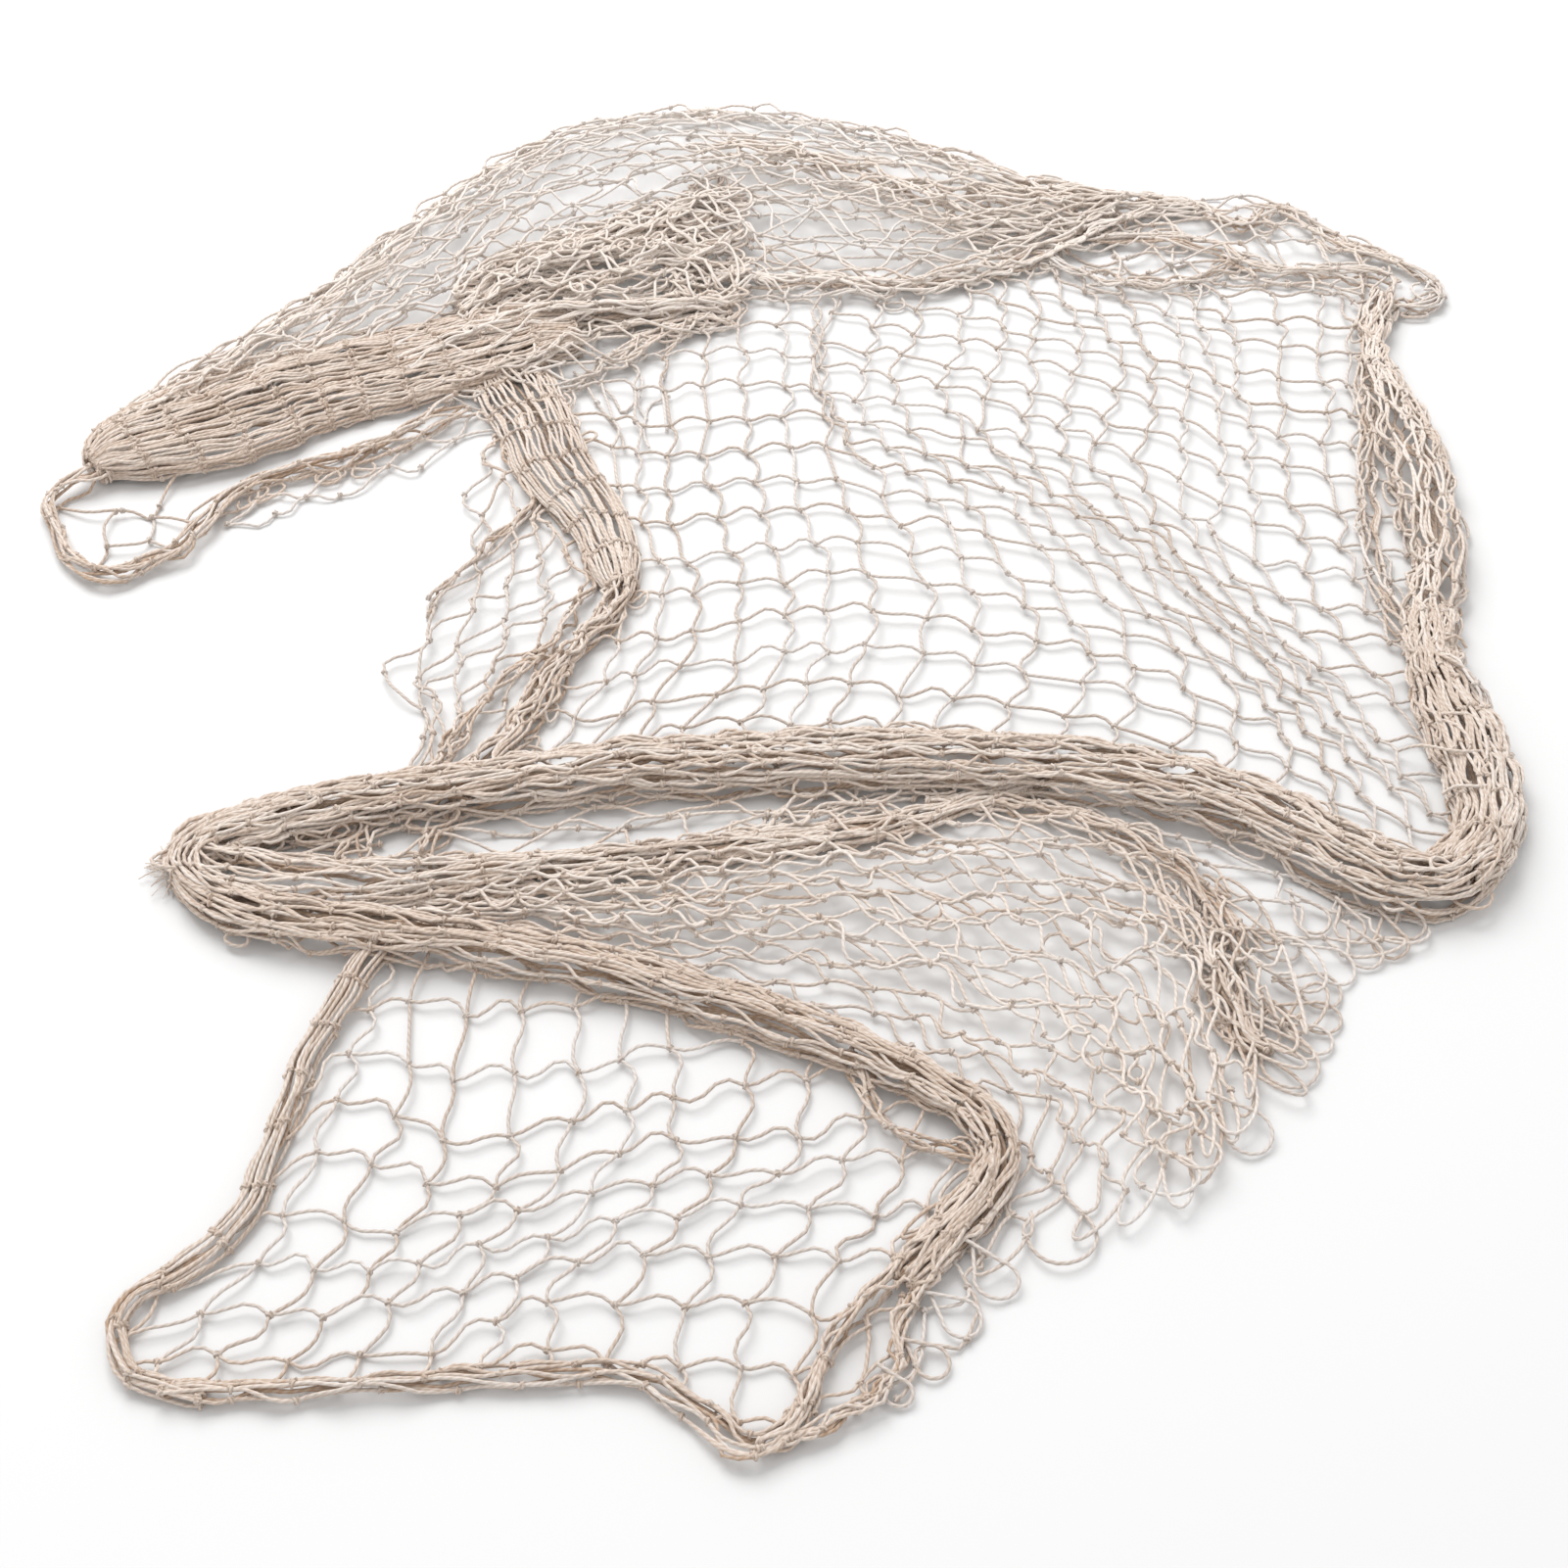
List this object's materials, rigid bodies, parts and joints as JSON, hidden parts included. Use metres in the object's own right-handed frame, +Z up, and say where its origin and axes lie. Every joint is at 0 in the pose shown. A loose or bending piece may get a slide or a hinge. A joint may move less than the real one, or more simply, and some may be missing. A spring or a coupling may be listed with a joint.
{
  "type": "decorative fishing net",
  "caption": "Knotted cotton fishing net for decoration, lying loosely gathered on a floor: open mesh panels between rope-like gathered folds, a pinched tail and a frayed cut end.",
  "frame": {"origin": "middle of the net's outline on the floor, at floor height", "axes": "+X to the right and +Y away from the viewer as the net is seen in the picture, +Z up"},
  "size_m": [0.6922, 0.8198, 0.0272],
  "materials": {
    "cord": "matte twisted cotton"
  },
  "bodies": {
    "root": {"net": "cord"}
  },
  "joints": []
}
